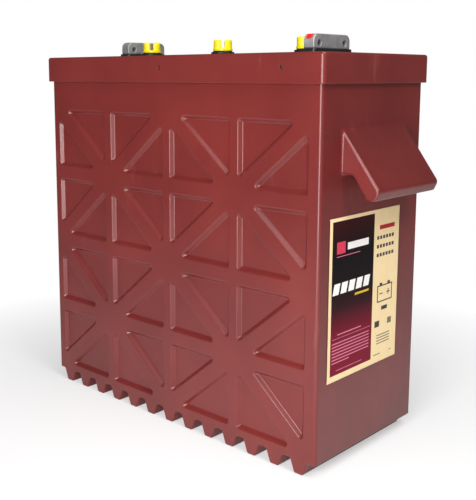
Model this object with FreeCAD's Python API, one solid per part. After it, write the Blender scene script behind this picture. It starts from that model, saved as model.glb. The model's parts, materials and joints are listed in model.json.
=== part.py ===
"""Deep cycle battery of 6 V: three flooded cells, each in its own jar, inside one moulded case.

Millimetres, +Z up.  The origin is at the middle of the footprint, on the floor under the ribs of
the case.  +X runs along the case towards the label, and -Y is the front face.  Every separate
piece is written to parts/ as a STEP file of its own.
"""
import FreeCAD, Part
import math
import os

from FreeCAD import Vector

# ---- Driving dimensions: lid and case ----
SPAN_X = 691.0            # over the tips of both handles
LID_X = 588.0
LID_Y = 264.0
LID_TOP_Z = 580.0
LID_PLATE = 6.0
SKIRT_DROP = 41.0         # height of the lid's skirt, from its top
LID_CORNER_R = 6.0
LID_EDGE_R = 4.0
LID_OVERHANG = 6.0        # how far the lid stands past the case on every side
LID_GAP = 0.3             # between the skirt and the case wall
LID_HOLE_PLAY = 1.5       # round each post

# ---- Screws through the lid's skirt ----
SCREW_X = (-10.0, 224.5)  # on the front; the back has them half a turn round
SCREW_Z = 561.0
SCREW_HEAD_R = 2.7
SCREW_HEAD_T = 2.0
SCREW_SHANK_R = 1.6
SCREW_SUNK = 3.0
SCREW_REACH = 7.5         # into the case wall
SCREW_PLAY = 0.1
SCREW_TIP_ROOM = 0.5
HEAD_PLAY = 0.15

CASE_BOTTOM_Z = 20.0
CASE_FLOOR = 8.0
CASE_END_WALL = 11.0
CASE_SIDE_WALL = 15.0
CASE_CORNER_R = 5.0
CASE_CAVITY_R = 5.0

# ---- Printed label on the +X end ----
LABEL_Y = (-103.5, 73.0)
LABEL_Z = (131.5, 361.0)
LABEL_T = 0.4
LABEL_R = 2.0

# ---- Ribs under the case ----
RIB_COUNT = 13
RIB_PITCH = 43.2
RIB_ROOT = 30.0
RIB_TIP = 15.0
RIB_ROUND = 4.0

# ---- Stiffening pattern on the long sides: star panels of eight sunk triangles ----
STAR_PITCH_X = 277.5
STAR_MIDDLE_X = -2.5      # halfway between the two columns on the front
STAR_PITCH_Z = 240.0
STAR_LOW_Z = 142.0        # centre height of the lower row
STAR_HALF_X = 131.0
STAR_HALF_Z = 109.0
UPRIGHT_ARM = 15.5        # widths of a star's arms
LEVEL_ARM = 22.0
DIAGONAL_ARM = 23.0
POCKET_DEPTH = 6.0
POCKET_RUN = 5.0          # how far a pocket's wall leans in over its depth
POCKET_ROUND = 4.0        # corner radius at the face
POCKET_FLOOR_R = 1.0      # and at the pocket's floor

# ---- Moulded handles: a hood that leans out from each end wall ----
HANDLE_Y = 160.0
HANDLE_TOP_Z = 480.0      # where the hood's outer slope leaves the wall
HANDLE_LIP_Z = 401.0
HANDLE_TIP_Z = 387.0
HANDLE_ROOF_Z = 419.0     # underside of the hood at the wall
HANDLE_EDGE_R = 4.0
HANDLE_SHARP = 1.5        # how far the lip's outer corner passes the tip before it is rounded
HANDLE_LIP_BACK = 5.0     # from the tip back to the lip's lower corner
HANDLE_LIP_T = 14.0       # thickness of the lip
HANDLE_ROOF_RUN = 41.0    # from the tip back to where the underside turns down
HANDLE_ROUNDS = (8.0, 5.0, 4.5, 9.0)    # those four corners, from the outer one inwards

# ---- Vents ----
VENT_PITCH = 168.0
NECK_R = 15.7
NECK_BORE_R = 12.0
NECK_GROOVE_R = 13.8
NECK_PLAY = 0.3           # in the lid's hole
COLLAR_R = 18.75
COLLAR_TOP_Z = 587.0
COLLAR_CHAMFER = 1.0
GASKET_T = 1.4
GASKET_OUTER_R = 15.25
GASKET_INNER_R = 14.1
GASKET_LIFT = 0.05        # keeps its faces off the collar and the cap
CAP_R = 15.75
CAP_TOP_Z = 606.0
FLANGE_T = 4.5
FLANGE_CHAMFER = 0.8
LOBE_INSET = 1.0          # the grip lobes stand inside the flange
LOBE_ROUND = 2.0
GRIP_GROOVE_X = 6.0
GRIP_GROOVE_DROP = 7.5
GRIP_FLAT = 4.5           # how much is cut off at both ends of the groove
GRIP_TURN = 44.0          # degrees between the grip's groove and +Y in the release position
CAP_VENT_R = 1.0
CAP_VENT_X = 5.5
STEM_R = 11.0
STEM_BORE_R = 8.6
STEM_BOTTOM_Z = 556.0
STEM_BORE_RISE = 1.5      # how far the bore goes up into the flange
LUG_R = 13.3
LUG_H = 3.0
LUG_ANGLE = 22.0          # degrees of arc of one bayonet lug
LUG_ROOM = 8.0            # degrees that a slot is wider than its lug
LUG_PLAY = 0.5            # above and below a lug in its groove
LUG_BITE = 0.5            # how far a lug's root reaches past the stem's bore
LUG_TOP_Z = 575.0
BAYONET_TURN = 90.0
BAFFLE_T = 3.0            # and its height above the stem's foot
BAFFLE_GAP = 0.05
BAFFLE_HOLES = 6
BAFFLE_HOLE_R = 1.2
BAFFLE_RING_R = 5.0

# ---- Posts and terminals ----
POST_R = 11.0
STRAP_Y = 30.0            # distance of each strap from the centre line
POS_TERMINAL = Vector(217.0, -18.5, 0)
NEG_TERMINAL = Vector(-212.0, 20.0, 0)
TERMINAL_T = 18.0         # thickness along X
TERMINAL_Y = 87.0
TERMINAL_BASE_T = 7.0
TERMINAL_TOP_Z = 607.0
TERMINAL_R = 9.5          # rounding of the upper ends
BOLT_R = 4.5
BOLT_PITCH = 60.0
BOLT_BELOW_TOP = 12.5
TERMINAL_FOOT_R = 2.0
TERMINAL_EDGE_R = 1.0
BASE_MARGIN_X = 3.5       # how far the foot stands past the block
BASE_MARGIN_Y = 2.5
BASE_R = 5.0
BASE_PLAY = 0.2
MARK_T = 0.8              # the red polarity mark
MARK_X = 10.0
MARK_GAP = 0.05
MARK_START = 2.5          # the mark ends this far short of the rounding's two ends

# ---- Cells ----
CELL_COUNT = 3
POSITIVES = 8             # positive plates in one cell; one more negative closes the stack
JAR_GAP = 0.4
JAR_WALL = 3.0
JAR_FLOOR = 4.0
JAR_TOP_Z = 535.0
PLATE_PITCH = 10.3        # from one plate to the next, positive to negative
POSITIVE_T = 6.4
NEGATIVE_T = 4.2
SEPARATOR_T = 3.0
PLATE_Y = 206.0
PLATE_BOTTOM_Z = 52.0
PLATE_TOP_Z = 455.0
SEPARATOR_TOP_Z = 462.0
LUG_TAB_Y = 24.0          # width of a plate's lug
STRAP_BOTTOM_Z = 480.0
STRAP_T = 16.0
STRAP_WIDTH = 36.0
LINK_BOTTOM_Z = 556.0
LINK_T = 12.0
LINK_MARGIN = 2.0         # how far a link stands past its posts
JAR_R = 4.0
JAR_INNER_R = 1.5
POST_ROOT_R = 14.0
SEAL_STAND = 2.0          # how far a post's seal stands above the cover
SEAL_GAP = 0.05
COVER_PLAY = 0.1
REST_Y = (-90.0, -35.0, 35.0, 90.0)
REST_T = 4.0
REST_FOOT_Y = 95.0
REST_FOOT_T = 2.0
REST_GAP = 1.0
SEPARATOR_PAST = 2.0      # how far a separator stands past the plates' side edges
GUARD_T = 2.5
GUARD_GAP = 2.0
GUARD_SLOT_PLAY = (1.0, 1.5)            # round the row of lugs along X, and along Y
GUARD_HOLE_R = 3.0
GUARD_HOLE_PITCH = 18.0
GUARD_HOLES_BESIDE = 4                  # holes on each side of the middle one
GUARD_ROWS = (-90.0, -75.0, -60.0, 0.0, 60.0, 75.0, 90.0)

# ---- Worked out from the above ----
CASE_X = LID_X - 2 * LID_OVERHANG
CASE_Y = LID_Y - 2 * LID_OVERHANG
CASE_TOP_Z = LID_TOP_Z - LID_PLATE
CASE_FLOOR_Z = CASE_BOTTOM_Z + CASE_FLOOR
CAVITY_X = CASE_X - 2 * CASE_END_WALL
CAVITY_Y = CASE_Y - 2 * CASE_SIDE_WALL
CELL_PITCH = CAVITY_X / CELL_COUNT
JAR_X = CELL_PITCH - 2 * JAR_GAP
JAR_Y = CAVITY_Y - 2 * JAR_GAP
CELL_X = [(i - 1) * CELL_PITCH for i in range(CELL_COUNT)]
VENT_X = [(i - 1) * VENT_PITCH for i in range(CELL_COUNT)]
POSITIVE_SIDE = [-1, 1, -1]      # the cells are turned about, so that links run straight
COVER_T = 8.0
COVER_TOP_Z = JAR_TOP_Z + COVER_T
COVER_LIP = 6.0
POST_SEAL_R = 15.0
TERMINAL_BOTTOM_Z = LID_TOP_Z + TERMINAL_BASE_T
LINK_POST_X = 60.0               # a link's post, from the middle of its cell


# ---------------------------------------------------------------- helpers
def block(x0, x1, y0, y1, z0, z1):
    """Box between two corners."""
    return Part.makeBox(x1 - x0, y1 - y0, z1 - z0, Vector(x0, y0, z0))


def rounded_wire(corners, radii):
    """Closed wire through the corners, each turned into a tangent arc of its own radius."""
    count = len(corners)
    arcs = []
    for i, corner in enumerate(corners):
        back = (corners[i - 1] - corner).normalize()
        ahead = (corners[(i + 1) % count] - corner).normalize()
        if radii[i] == 0:
            arcs.append((corner, None, corner))
            continue
        half = back.getAngle(ahead) / 2
        reach = radii[i] / math.tan(half)
        bisector = (back + ahead).normalize()
        middle = corner + bisector * (radii[i] / math.sin(half) - radii[i])
        arcs.append((corner + back * reach, middle, corner + ahead * reach))
    edges = []
    for i, (start, middle, end) in enumerate(arcs):
        if middle is not None:
            edges.append(Part.Arc(start, middle, end).toShape())
        following = arcs[(i + 1) % count][0]
        if end.distanceToPoint(following) > 1e-6:
            edges.append(Part.makeLine(end, following))
    return Part.Wire(edges)


def prism(corners, radii, sweep):
    """Solid swept straight from the rounded outline."""
    return Part.Face(rounded_wire(corners, radii)).extrude(sweep)


def rounded_block(centre_x, centre_y, size_x, size_y, radius, z0, z1):
    """Upright block with rounded vertical edges."""
    hx = size_x / 2
    hy = size_y / 2
    corners = [Vector(centre_x + sx * hx, centre_y + sy * hy, z0)
               for sx, sy in ((-1, -1), (1, -1), (1, 1), (-1, 1))]
    return prism(corners, [radius] * 4, Vector(0, 0, z1 - z0))


def upright(x, y, radius, z0, z1):
    """Vertical cylinder."""
    return Part.makeCylinder(radius, z1 - z0, Vector(x, y, z0))


def tube(x, y, outer, inner, z0, z1):
    """Vertical tube."""
    return upright(x, y, outer, z0, z1).cut(upright(x, y, inner, z0, z1))


def sector(x, y, outer, inner, z0, z1, mid_angle, arc):
    """Part of a vertical tube: arc degrees wide, centred on mid_angle."""
    wedge = Part.makeCylinder(outer, z1 - z0, Vector(x, y, z0), Vector(0, 0, 1), arc)
    wedge.rotate(Vector(x, y, 0), Vector(0, 0, 1), mid_angle - arc / 2)
    return wedge.cut(upright(x, y, inner, z0, z1))


def across(x, z, radius, y0, y1):
    """Cylinder along Y."""
    return Part.makeCylinder(radius, y1 - y0, Vector(x, y0, z), Vector(0, 1, 0))


def along(y, z, radius, x0, x1):
    """Cylinder along X."""
    return Part.makeCylinder(radius, x1 - x0, Vector(x0, y, z), Vector(1, 0, 0))


def half_turn(shape):
    """Copy turned half a turn about the battery's upright centre line."""
    copy = shape.copy()
    copy.rotate(Vector(0, 0, 0), Vector(0, 0, 1), 180)
    return copy


def save(name, shape):
    """Write one node, whatever number of solids it holds."""
    shape = shape if len(shape.Solids) > 1 else shape.Solids[0]
    shape.exportStep("parts/" + name + ".step")


# ---------------------------------------------------------------- case
def star_triangles(centre_x, centre_z):
    """The eight triangles, as corner lists (x, z), left between the arms of one star."""
    side, top = UPRIGHT_ARM / 2, LEVEL_ARM / 2
    slope = STAR_HALF_Z / STAR_HALF_X
    shift = DIAGONAL_ARM / 2 * math.hypot(1, slope)     # the diagonal's half width along Z
    beside = [((top + shift) / slope, top), (STAR_HALF_X, top),
              (STAR_HALF_X, slope * STAR_HALF_X - shift)]
    above = [(side, slope * side + shift), (side, STAR_HALF_Z),
             ((STAR_HALF_Z - shift) / slope, STAR_HALF_Z)]
    return [[(centre_x + sx * x, centre_z + sz * z) for x, z in triangle]
            for triangle in (beside, above) for sx in (-1, 1) for sz in (-1, 1)]


def pocket_wire(triangle, inset, y):
    """Rounded triangle in the plane y, with its sides moved in by inset towards its incentre."""
    points = [Vector(x, y, z) for x, z in triangle]
    sides = [points[(i + 1) % 3].distanceToPoint(points[(i + 2) % 3]) for i in range(3)]
    around = sum(sides)
    centre = (points[0] * sides[0] + points[1] * sides[1] + points[2] * sides[2]) / around
    doubled_area = (points[1] - points[0]).cross(points[2] - points[0]).Length
    keep = 1 - inset * around / doubled_area
    shrunk = [centre + (point - centre) * keep for point in points]
    return rounded_wire(shrunk, [max(POCKET_ROUND - inset, POCKET_FLOOR_R)] * 3)


def pocket(triangle):
    """Cutter for one drafted pocket in the front face; it starts 1 mm in front of the face."""
    face_y = -CASE_Y / 2
    lean = POCKET_RUN / POCKET_DEPTH
    outer = pocket_wire(triangle, -lean, face_y - 1)
    inner = pocket_wire(triangle, POCKET_RUN, face_y + POCKET_DEPTH)
    return Part.makeLoft([outer, inner], True, True)


def case_pockets():
    """Cutters for both long sides."""
    cutters = []
    for centre_x in (STAR_MIDDLE_X - STAR_PITCH_X / 2, STAR_MIDDLE_X + STAR_PITCH_X / 2):
        for row in (0, 1):
            for triangle in star_triangles(centre_x, STAR_LOW_Z + row * STAR_PITCH_Z):
                cutter = pocket(triangle)
                cutters.append(cutter)
                cutters.append(half_turn(cutter))
    return cutters


def case_ribs():
    """Comb of ribs across the underside, on a thin back that merges into the floor."""
    front = -CASE_Y / 2
    half = CASE_X / 2 - CASE_CORNER_R
    back_z = CASE_BOTTOM_Z + CASE_FLOOR / 2
    corners = [Vector(-half, front, back_z), Vector(-half, front, CASE_BOTTOM_Z)]
    radii = [0, 0]
    for i in range(RIB_COUNT):
        x = (i - (RIB_COUNT - 1) / 2) * RIB_PITCH
        for offset, z in ((-RIB_ROOT, CASE_BOTTOM_Z), (-RIB_TIP, 0), (RIB_TIP, 0),
                          (RIB_ROOT, CASE_BOTTOM_Z)):
            corners.append(Vector(x + offset / 2, front, z))
            radii.append(RIB_ROUND)
    corners += [Vector(half, front, CASE_BOTTOM_Z), Vector(half, front, back_z)]
    radii += [0, 0]
    return prism(corners, radii, Vector(0, CASE_Y, 0))


def handle():
    """Hood on the +X end: a leaning slab with a blunt lip, open underneath for the fingers."""
    front = -HANDLE_Y / 2
    wall_x = CASE_X / 2
    root_x = wall_x - CASE_END_WALL / 2
    tip_x = SPAN_X / 2
    slope = (tip_x - wall_x) / (HANDLE_TOP_Z - HANDLE_LIP_Z)
    lower_x = tip_x - HANDLE_LIP_BACK
    profile = [(root_x, HANDLE_TOP_Z + (wall_x - root_x) / slope),
               (tip_x + HANDLE_SHARP, HANDLE_LIP_Z), (lower_x, HANDLE_TIP_Z),
               (lower_x - HANDLE_LIP_T, HANDLE_TIP_Z), (tip_x - HANDLE_ROOF_RUN, HANDLE_ROOF_Z),
               (root_x, HANDLE_ROOF_Z)]
    corners = [Vector(x, front, z) for x, z in profile]
    hood = prism(corners, [0, *HANDLE_ROUNDS, 0], Vector(0, HANDLE_Y, 0))
    rims = [edge for edge in hood.Edges
            if abs(abs(edge.CenterOfMass.y) - HANDLE_Y / 2) < 0.01
            and edge.CenterOfMass.x > root_x + 0.1]
    hood = hood.makeFillet(HANDLE_EDGE_R, rims)
    hood.translate(Vector(tip_x - hood.BoundBox.XMax, 0, 0))
    return hood


def outer_case():
    body = rounded_block(0, 0, CASE_X, CASE_Y, CASE_CORNER_R, CASE_BOTTOM_Z, CASE_TOP_Z)
    cavity = rounded_block(0, 0, CAVITY_X, CAVITY_Y, CASE_CAVITY_R, CASE_FLOOR_Z, CASE_TOP_Z)
    grip = handle()
    body = body.fuse([case_ribs(), grip, half_turn(grip)]).cut(cavity)
    body = body.cut(case_pockets() + screw_cutters(SCREW_SHANK_R + SCREW_PLAY))
    return body.removeSplitter()


# ---------------------------------------------------------------- lid
def screw_cutters(radius):
    """Holes for the lid's screws through the skirt and on into the case wall."""
    end_y = -CASE_Y / 2 + SCREW_REACH + SCREW_TIP_ROOM
    front = [across(x, SCREW_Z, radius, -LID_Y / 2 - 1, end_y) for x in SCREW_X]
    return front + [half_turn(hole) for hole in front]


def lid_screws():
    """Short screws with sunk heads that hold the skirt to the case."""
    front = []
    head_y = -LID_Y / 2 + SCREW_SUNK
    for x in SCREW_X:
        head = across(x, SCREW_Z, SCREW_HEAD_R, head_y, head_y + SCREW_HEAD_T)
        shank = across(x, SCREW_Z, SCREW_SHANK_R, head_y, -CASE_Y / 2 + SCREW_REACH)
        front.append(head.fuse(shank))
    return Part.makeCompound(front + [half_turn(screw) for screw in front])


def case_lid():
    lid = rounded_block(0, 0, LID_X, LID_Y, LID_CORNER_R, LID_TOP_Z - SKIRT_DROP, LID_TOP_Z)
    rim = [edge for edge in lid.Edges if abs(edge.CenterOfMass.z - LID_TOP_Z) < 0.01]
    lid = lid.makeFillet(LID_EDGE_R, rim)
    hollow = rounded_block(0, 0, CASE_X + 2 * LID_GAP, CASE_Y + 2 * LID_GAP,
                           CASE_CORNER_R + LID_GAP, LID_TOP_Z - SKIRT_DROP, CASE_TOP_Z)
    holes = [upright(x, 0, NECK_R + NECK_PLAY, CASE_TOP_Z, LID_TOP_Z) for x in VENT_X]
    holes += [upright(post.x, post.y, POST_R + LID_HOLE_PLAY, CASE_TOP_Z, LID_TOP_Z)
              for post in (POS_TERMINAL, NEG_TERMINAL)]
    front = -LID_Y / 2
    heads = [across(x, SCREW_Z, SCREW_HEAD_R + HEAD_PLAY, front - 1,
                    front + SCREW_SUNK + SCREW_HEAD_T) for x in SCREW_X]
    heads += [half_turn(hole) for hole in heads]
    return lid.cut([hollow] + holes + heads + screw_cutters(SCREW_SHANK_R + SCREW_PLAY))


def end_label():
    """Thin printed sheet stuck on the +X end wall."""
    wall_x = CASE_X / 2
    y0, y1 = LABEL_Y
    z0, z1 = LABEL_Z
    corners = [Vector(wall_x, y, z) for y, z in ((y0, z0), (y1, z0), (y1, z1), (y0, z1))]
    return prism(corners, [LABEL_R] * 4, Vector(LABEL_T, 0, 0))


# ---------------------------------------------------------------- terminals
def terminal(post):
    """Cast block standing across the battery, with two bolt holes through its thickness."""
    half = TERMINAL_Y / 2
    left_x = post.x - TERMINAL_T / 2
    corners = [Vector(left_x, post.y + dy, z)
               for dy, z in ((-half, TERMINAL_BOTTOM_Z), (half, TERMINAL_BOTTOM_Z),
                             (half, TERMINAL_TOP_Z), (-half, TERMINAL_TOP_Z))]
    radii = [TERMINAL_FOOT_R, TERMINAL_FOOT_R, TERMINAL_R, TERMINAL_R]
    cast = prism(corners, radii, Vector(TERMINAL_T, 0, 0))
    rims = [edge for edge in cast.Edges
            if abs(abs(edge.CenterOfMass.x - post.x) - TERMINAL_T / 2) < 0.01]
    cast = cast.makeFillet(TERMINAL_EDGE_R, rims)
    bolt_z = TERMINAL_TOP_Z - BOLT_BELOW_TOP
    holes = [along(post.y + side * BOLT_PITCH / 2, bolt_z, BOLT_R, left_x - 1,
                   left_x + TERMINAL_T + 1) for side in (-1, 1)]
    return cast.cut(holes)


def terminal_base(post):
    """Moulded foot that seals the post into the lid."""
    foot = rounded_block(post.x, post.y, TERMINAL_T + 2 * BASE_MARGIN_X,
                         TERMINAL_Y + 2 * BASE_MARGIN_Y, BASE_R, LID_TOP_Z, TERMINAL_BOTTOM_Z)
    return foot.cut(upright(post.x, post.y, POST_R + BASE_PLAY, LID_TOP_Z, TERMINAL_BOTTOM_Z))


def polarity_mark():
    """Thin red pad wrapped over the front upper corner of the positive terminal."""
    post = POS_TERMINAL
    centre = Vector(post.x, post.y - TERMINAL_Y / 2 + TERMINAL_R, TERMINAL_TOP_Z - TERMINAL_R)
    inner = TERMINAL_R + MARK_GAP
    outer = inner + MARK_T
    half = MARK_X / 2
    ring = along(centre.y, centre.z, outer, post.x - half, post.x + half)
    ring = ring.cut(along(centre.y, centre.z, inner, post.x - half, post.x + half))
    corner = block(post.x - half, post.x + half, centre.y - outer, centre.y - MARK_START,
                   centre.z + MARK_START, TERMINAL_TOP_Z)
    return ring.common(corner)


# ---------------------------------------------------------------- vents
def bayonet_spaces(x):
    """Upright entry slots, and the level grooves that a lug turns into, for one filler neck."""
    low = LUG_TOP_Z - LUG_H - LUG_PLAY
    high = LUG_TOP_Z + LUG_PLAY
    slot = LUG_ANGLE + LUG_ROOM
    spaces = []
    for side in (0, 180):
        spaces.append(sector(x, 0, NECK_GROOVE_R, STEM_R, low, COLLAR_TOP_Z, side, slot))
        spaces.append(sector(x, 0, NECK_GROOVE_R, STEM_R, low, high, side - BAYONET_TURN / 2,
                             BAYONET_TURN + slot))
    return spaces


def vent_neck(i):
    """Filler neck with a collar over the lid, and a bayonet track inside."""
    x = VENT_X[i]
    neck = upright(x, 0, NECK_R, JAR_TOP_Z - COVER_LIP, COLLAR_TOP_Z)
    collar = upright(x, 0, COLLAR_R, LID_TOP_Z, COLLAR_TOP_Z)
    rim = [edge for edge in collar.Edges if abs(edge.CenterOfMass.z - COLLAR_TOP_Z) < 0.01]
    collar = collar.makeChamfer(COLLAR_CHAMFER, rim)
    bore = upright(x, 0, NECK_BORE_R, JAR_TOP_Z - COVER_LIP, COLLAR_TOP_Z)
    return neck.fuse(collar).cut([bore] + bayonet_spaces(x)).removeSplitter()


def vent_gasket(i):
    low = COLLAR_TOP_Z + GASKET_LIFT
    return tube(VENT_X[i], 0, GASKET_OUTER_R, GASKET_INNER_R, low, low + GASKET_T)


def grip_lobes(x, seat, shoulder):
    """Two lobes with a groove between them, cut flat at both ends of the groove."""
    lobes = upright(x, 0, CAP_R - LOBE_INSET, seat, CAP_TOP_Z)
    crown = [e for e in lobes.Edges if abs(e.CenterOfMass.z - CAP_TOP_Z) < 0.01]
    lobes = lobes.makeFillet(LOBE_ROUND, crown)
    half = GRIP_GROOVE_X / 2
    cuts = [block(x - half, x + half, -CAP_R, CAP_R, CAP_TOP_Z - GRIP_GROOVE_DROP, CAP_TOP_Z)]
    flat_y = CAP_R - GRIP_FLAT
    cuts += [block(x - CAP_R, x + CAP_R, y0, y1, shoulder, CAP_TOP_Z)
             for y0, y1 in ((-CAP_R, -flat_y), (flat_y, CAP_R))]
    lobes = lobes.cut(cuts)
    lobes.rotate(Vector(x, 0, 0), Vector(0, 0, 1), GRIP_TURN)
    return lobes


def vent_cap(i):
    """Bayonet cap: flange, grip lobes, hollow stem and two lugs."""
    x = VENT_X[i]
    seat = COLLAR_TOP_Z + GASKET_T + 2 * GASKET_LIFT
    shoulder = seat + FLANGE_T
    flange = upright(x, 0, CAP_R, seat, shoulder)
    edge = [e for e in flange.Edges if abs(e.CenterOfMass.z - shoulder) < 0.01]
    flange = flange.makeChamfer(FLANGE_CHAMFER, edge)
    stem = upright(x, 0, STEM_R, STEM_BOTTOM_Z, seat)
    cap = flange.fuse([grip_lobes(x, seat, shoulder), stem])
    cap = cap.cut(upright(x, 0, STEM_BORE_R, STEM_BOTTOM_Z, seat + STEM_BORE_RISE))
    lugs = [sector(x, 0, LUG_R, STEM_BORE_R + LUG_BITE, LUG_TOP_Z - LUG_H, LUG_TOP_Z, side,
                   LUG_ANGLE) for side in (0, 180)]
    cap = cap.fuse(lugs)
    turn = math.radians(GRIP_TURN)
    vents = [upright(x + side * CAP_VENT_X * math.cos(turn), side * CAP_VENT_X * math.sin(turn),
                     CAP_VENT_R, seat, CAP_TOP_Z) for side in (-1, 1)]
    return cap.cut(vents).removeSplitter()


def vent_baffle(i):
    """Splash disc held in the foot of the stem, with a ring of drain holes."""
    x = VENT_X[i]
    low = STEM_BOTTOM_Z + BAFFLE_T
    high = low + BAFFLE_T
    disc = upright(x, 0, STEM_BORE_R - BAFFLE_GAP, low, high)
    holes = []
    for k in range(BAFFLE_HOLES):
        angle = 2 * math.pi * k / BAFFLE_HOLES
        holes.append(upright(x + BAFFLE_RING_R * math.cos(angle), BAFFLE_RING_R * math.sin(angle),
                             BAFFLE_HOLE_R, low, high))
    return disc.cut(holes)


# ---------------------------------------------------------------- cells
def post_places(i):
    """(x, y) of the positive and of the negative post of a cell."""
    side = POSITIVE_SIDE[i]
    positive = (CELL_X[i] + LINK_POST_X, side * STRAP_Y)
    negative = (CELL_X[i] - LINK_POST_X, -side * STRAP_Y)
    if i == CELL_COUNT - 1:
        positive = (POS_TERMINAL.x, POS_TERMINAL.y)
    if i == 0:
        negative = (NEG_TERMINAL.x, NEG_TERMINAL.y)
    return positive, negative


def cell_jar(i):
    x = CELL_X[i]
    jar = rounded_block(x, 0, JAR_X, JAR_Y, JAR_R, CASE_FLOOR_Z, JAR_TOP_Z)
    room = rounded_block(x, 0, JAR_X - 2 * JAR_WALL, JAR_Y - 2 * JAR_WALL, JAR_INNER_R,
                         CASE_FLOOR_Z + JAR_FLOOR, JAR_TOP_Z)
    return jar.cut(room)


def cell_cover(i):
    """Lid of one jar, with a lip that drops inside it and holes for the neck and both posts."""
    x = CELL_X[i]
    cover = rounded_block(x, 0, JAR_X, JAR_Y, JAR_R, JAR_TOP_Z, COVER_TOP_Z)
    inner_x = JAR_X - 2 * JAR_WALL - 2 * JAR_GAP
    inner_y = JAR_Y - 2 * JAR_WALL - 2 * JAR_GAP
    lip = rounded_block(x, 0, inner_x, inner_y, JAR_INNER_R, JAR_TOP_Z - COVER_LIP, JAR_TOP_Z)
    holes = [upright(VENT_X[i], 0, NECK_R + COVER_PLAY, JAR_TOP_Z - COVER_LIP, COVER_TOP_Z)]
    holes += [upright(px, py, POST_SEAL_R, JAR_TOP_Z - COVER_LIP, COVER_TOP_Z)
              for px, py in post_places(i)]
    return cover.fuse(lip).cut(holes).removeSplitter()


def post_seals(i):
    """Rubber rings between the posts and the jar's cover."""
    return Part.makeCompound([tube(px, py, POST_SEAL_R - SEAL_GAP, POST_R + SEAL_GAP,
                                   JAR_TOP_Z - COVER_LIP, COVER_TOP_Z + SEAL_STAND)
                              for px, py in post_places(i)])


def plate_rest(i):
    """Ribs that hold the plates up over the mud space; a thin foot joins them."""
    x = CELL_X[i]
    half = JAR_X / 2 - JAR_WALL - REST_GAP
    low = CASE_FLOOR_Z + JAR_FLOOR
    foot = block(x - half, x + half, -REST_FOOT_Y, REST_FOOT_Y, low, low + REST_FOOT_T)
    ribs = [block(x - half, x + half, y - REST_T / 2, y + REST_T / 2, low, PLATE_BOTTOM_Z)
            for y in REST_Y]
    return foot.fuse(ribs).removeSplitter()


def plate(x, thickness, tab_y):
    """One plate with the lug that stands up to its strap."""
    half = PLATE_Y / 2
    left_x = x - thickness / 2
    outline = ((-half, PLATE_BOTTOM_Z), (half, PLATE_BOTTOM_Z), (half, PLATE_TOP_Z),
               (tab_y + LUG_TAB_Y / 2, PLATE_TOP_Z), (tab_y + LUG_TAB_Y / 2, STRAP_BOTTOM_Z),
               (tab_y - LUG_TAB_Y / 2, STRAP_BOTTOM_Z), (tab_y - LUG_TAB_Y / 2, PLATE_TOP_Z),
               (-half, PLATE_TOP_Z))
    corners = [Vector(left_x, y, z) for y, z in outline]
    return prism(corners, [0] * len(corners), Vector(thickness, 0, 0))


def plate_x(i, index):
    """Place of a plate in its cell; even ones are negative, odd ones positive."""
    return CELL_X[i] + (index - POSITIVES) * PLATE_PITCH


def positive_plates(i):
    tab_y = POSITIVE_SIDE[i] * STRAP_Y
    return Part.makeCompound([plate(plate_x(i, 2 * k + 1), POSITIVE_T, tab_y)
                              for k in range(POSITIVES)])


def negative_plates(i):
    tab_y = -POSITIVE_SIDE[i] * STRAP_Y
    return Part.makeCompound([plate(plate_x(i, 2 * k), NEGATIVE_T, tab_y)
                              for k in range(POSITIVES + 1)])


def separators(i):
    """A sheet between every two plates, in the middle of the free space between their faces."""
    sheets = []
    half_y = PLATE_Y / 2 + SEPARATOR_PAST
    middle = (NEGATIVE_T - POSITIVE_T) / 4
    for k in range(2 * POSITIVES):
        towards = 1 if k % 2 == 0 else -1
        x = (plate_x(i, k) + plate_x(i, k + 1)) / 2 + towards * middle
        sheets.append(block(x - SEPARATOR_T / 2, x + SEPARATOR_T / 2, -half_y, half_y,
                            PLATE_BOTTOM_Z, SEPARATOR_TOP_Z))
    return Part.makeCompound(sheets)


def strap(i, side, post, top_z):
    """Lead bar over one set of lugs, with the post that rises from it."""
    x = CELL_X[i]
    half = POSITIVES * PLATE_PITCH + POSITIVE_T / 2
    y = side * STRAP_Y
    bar = block(x - half, x + half, y - STRAP_WIDTH / 2, y + STRAP_WIDTH / 2, STRAP_BOTTOM_Z,
                STRAP_BOTTOM_Z + STRAP_T)
    root = upright(post[0], post[1], POST_ROOT_R, STRAP_BOTTOM_Z, STRAP_BOTTOM_Z + STRAP_T)
    stem = upright(post[0], post[1], POST_R, STRAP_BOTTOM_Z, top_z)
    return bar.fuse([root, stem]).removeSplitter()


def positive_strap(i):
    top_z = TERMINAL_BOTTOM_Z if i == CELL_COUNT - 1 else LINK_BOTTOM_Z
    return strap(i, POSITIVE_SIDE[i], post_places(i)[0], top_z)


def negative_strap(i):
    top_z = TERMINAL_BOTTOM_Z if i == 0 else LINK_BOTTOM_Z
    return strap(i, -POSITIVE_SIDE[i], post_places(i)[1], top_z)


def intercell_link(i):
    """Lead bar from the positive post of cell i to the negative post of the next one."""
    start = post_places(i)[0]
    end = post_places(i + 1)[1]
    width = 2 * (POST_R + LINK_MARGIN)
    return rounded_block((start[0] + end[0]) / 2, start[1], end[0] - start[0] + width, width,
                         POST_R, LINK_BOTTOM_Z, LINK_BOTTOM_Z + LINK_T)


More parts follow.
